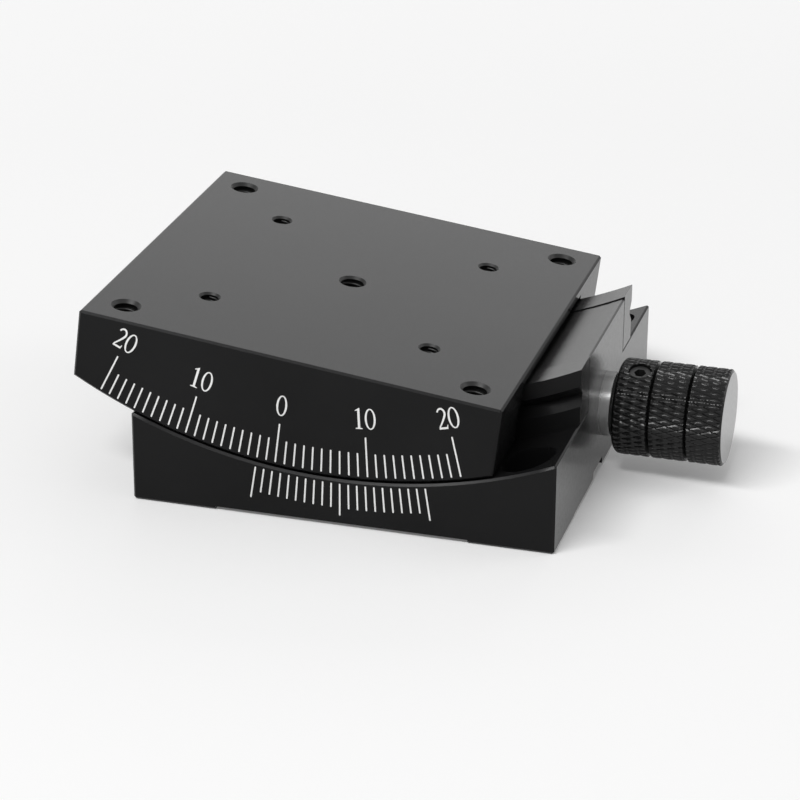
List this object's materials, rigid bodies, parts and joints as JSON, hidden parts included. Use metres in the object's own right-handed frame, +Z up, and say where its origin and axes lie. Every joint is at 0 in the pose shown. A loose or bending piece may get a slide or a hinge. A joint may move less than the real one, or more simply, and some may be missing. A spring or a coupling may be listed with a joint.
{
  "type": "goniometer stage",
  "caption": "Tilting table on curved crossed-roller ways over a square base, swung by a knurled knob through a worm and a toothed sector, with an angle scale on the front.",
  "frame": {"origin": "centre of the underside of the base, on the plane of its four pads", "axes": "+X along the swing towards the knob, +Y away from the scale, parallel to the swing axis, +Z up"},
  "size_m": [0.0861, 0.06, 0.0274],
  "materials": {
    "black_anodised": "black anodised, fine satin",
    "black_rail": "ground and blackened",
    "black_screw": "black oxide",
    "black_sleeve": "turned and black anodised",
    "black_knob": "diamond knurled and black anodised, outer end faced bright",
    "bronze": "turned",
    "brass": "machined",
    "steel": "ground"
  },
  "bodies": {
    "base": {"base_block": "black_anodised", "front_inner_rail": "black_rail", "rear_inner_rail": "black_rail", "inner_rail_screws": "black_screw", "worm_cover": "black_anodised", "worm_cover_screws": "black_screw", "bearing_sleeve": "black_sleeve", "end_bush": "bronze", "end_plug": "black_screw", "thrust_washer": "steel", "stop_pin": "steel"},
    "table": {"table_block": "black_anodised", "front_outer_rail": "black_rail", "rear_outer_rail": "black_rail", "outer_rail_screws": "black_screw", "preload_screws": "black_screw", "worm_sector": "brass"},
    "worm": {"worm_shaft": "steel", "knob": "black_knob", "knob_set_screw": "black_screw"},
    "front_cage": {"front_cage": "brass", "front_rollers": "steel"},
    "rear_cage": {"rear_cage": "brass", "rear_rollers": "steel"}
  },
  "joints": [
    {"name": "table_tilt", "type": "hinge", "parent": "base", "child": "table", "pos_m": [0, 0, 0.0833], "axis": [0, 1, 0], "range_deg": [-27, 13]},
    {"name": "worm_spin", "type": "hinge", "parent": "base", "child": "worm", "pos_m": [0, 0, 0.0096], "axis": [1, 0, 0], "range_deg": [-7344, 3536]},
    {"name": "front_cage_roll", "type": "hinge", "parent": "base", "child": "front_cage", "pos_m": [0, 0, 0.0833], "axis": [0, 1, 0], "range_deg": [-13.5, 6.5]},
    {"name": "rear_cage_roll", "type": "hinge", "parent": "base", "child": "rear_cage", "pos_m": [0, 0, 0.0833], "axis": [0, 1, 0], "range_deg": [-13.5, 6.5]}
  ],
  "couplings": [
    {"joint": "worm_spin", "follows": "table_tilt", "ratio": 272},
    {"joint": "front_cage_roll", "follows": "table_tilt", "ratio": 0.5},
    {"joint": "rear_cage_roll", "follows": "table_tilt", "ratio": 0.5}
  ]
}
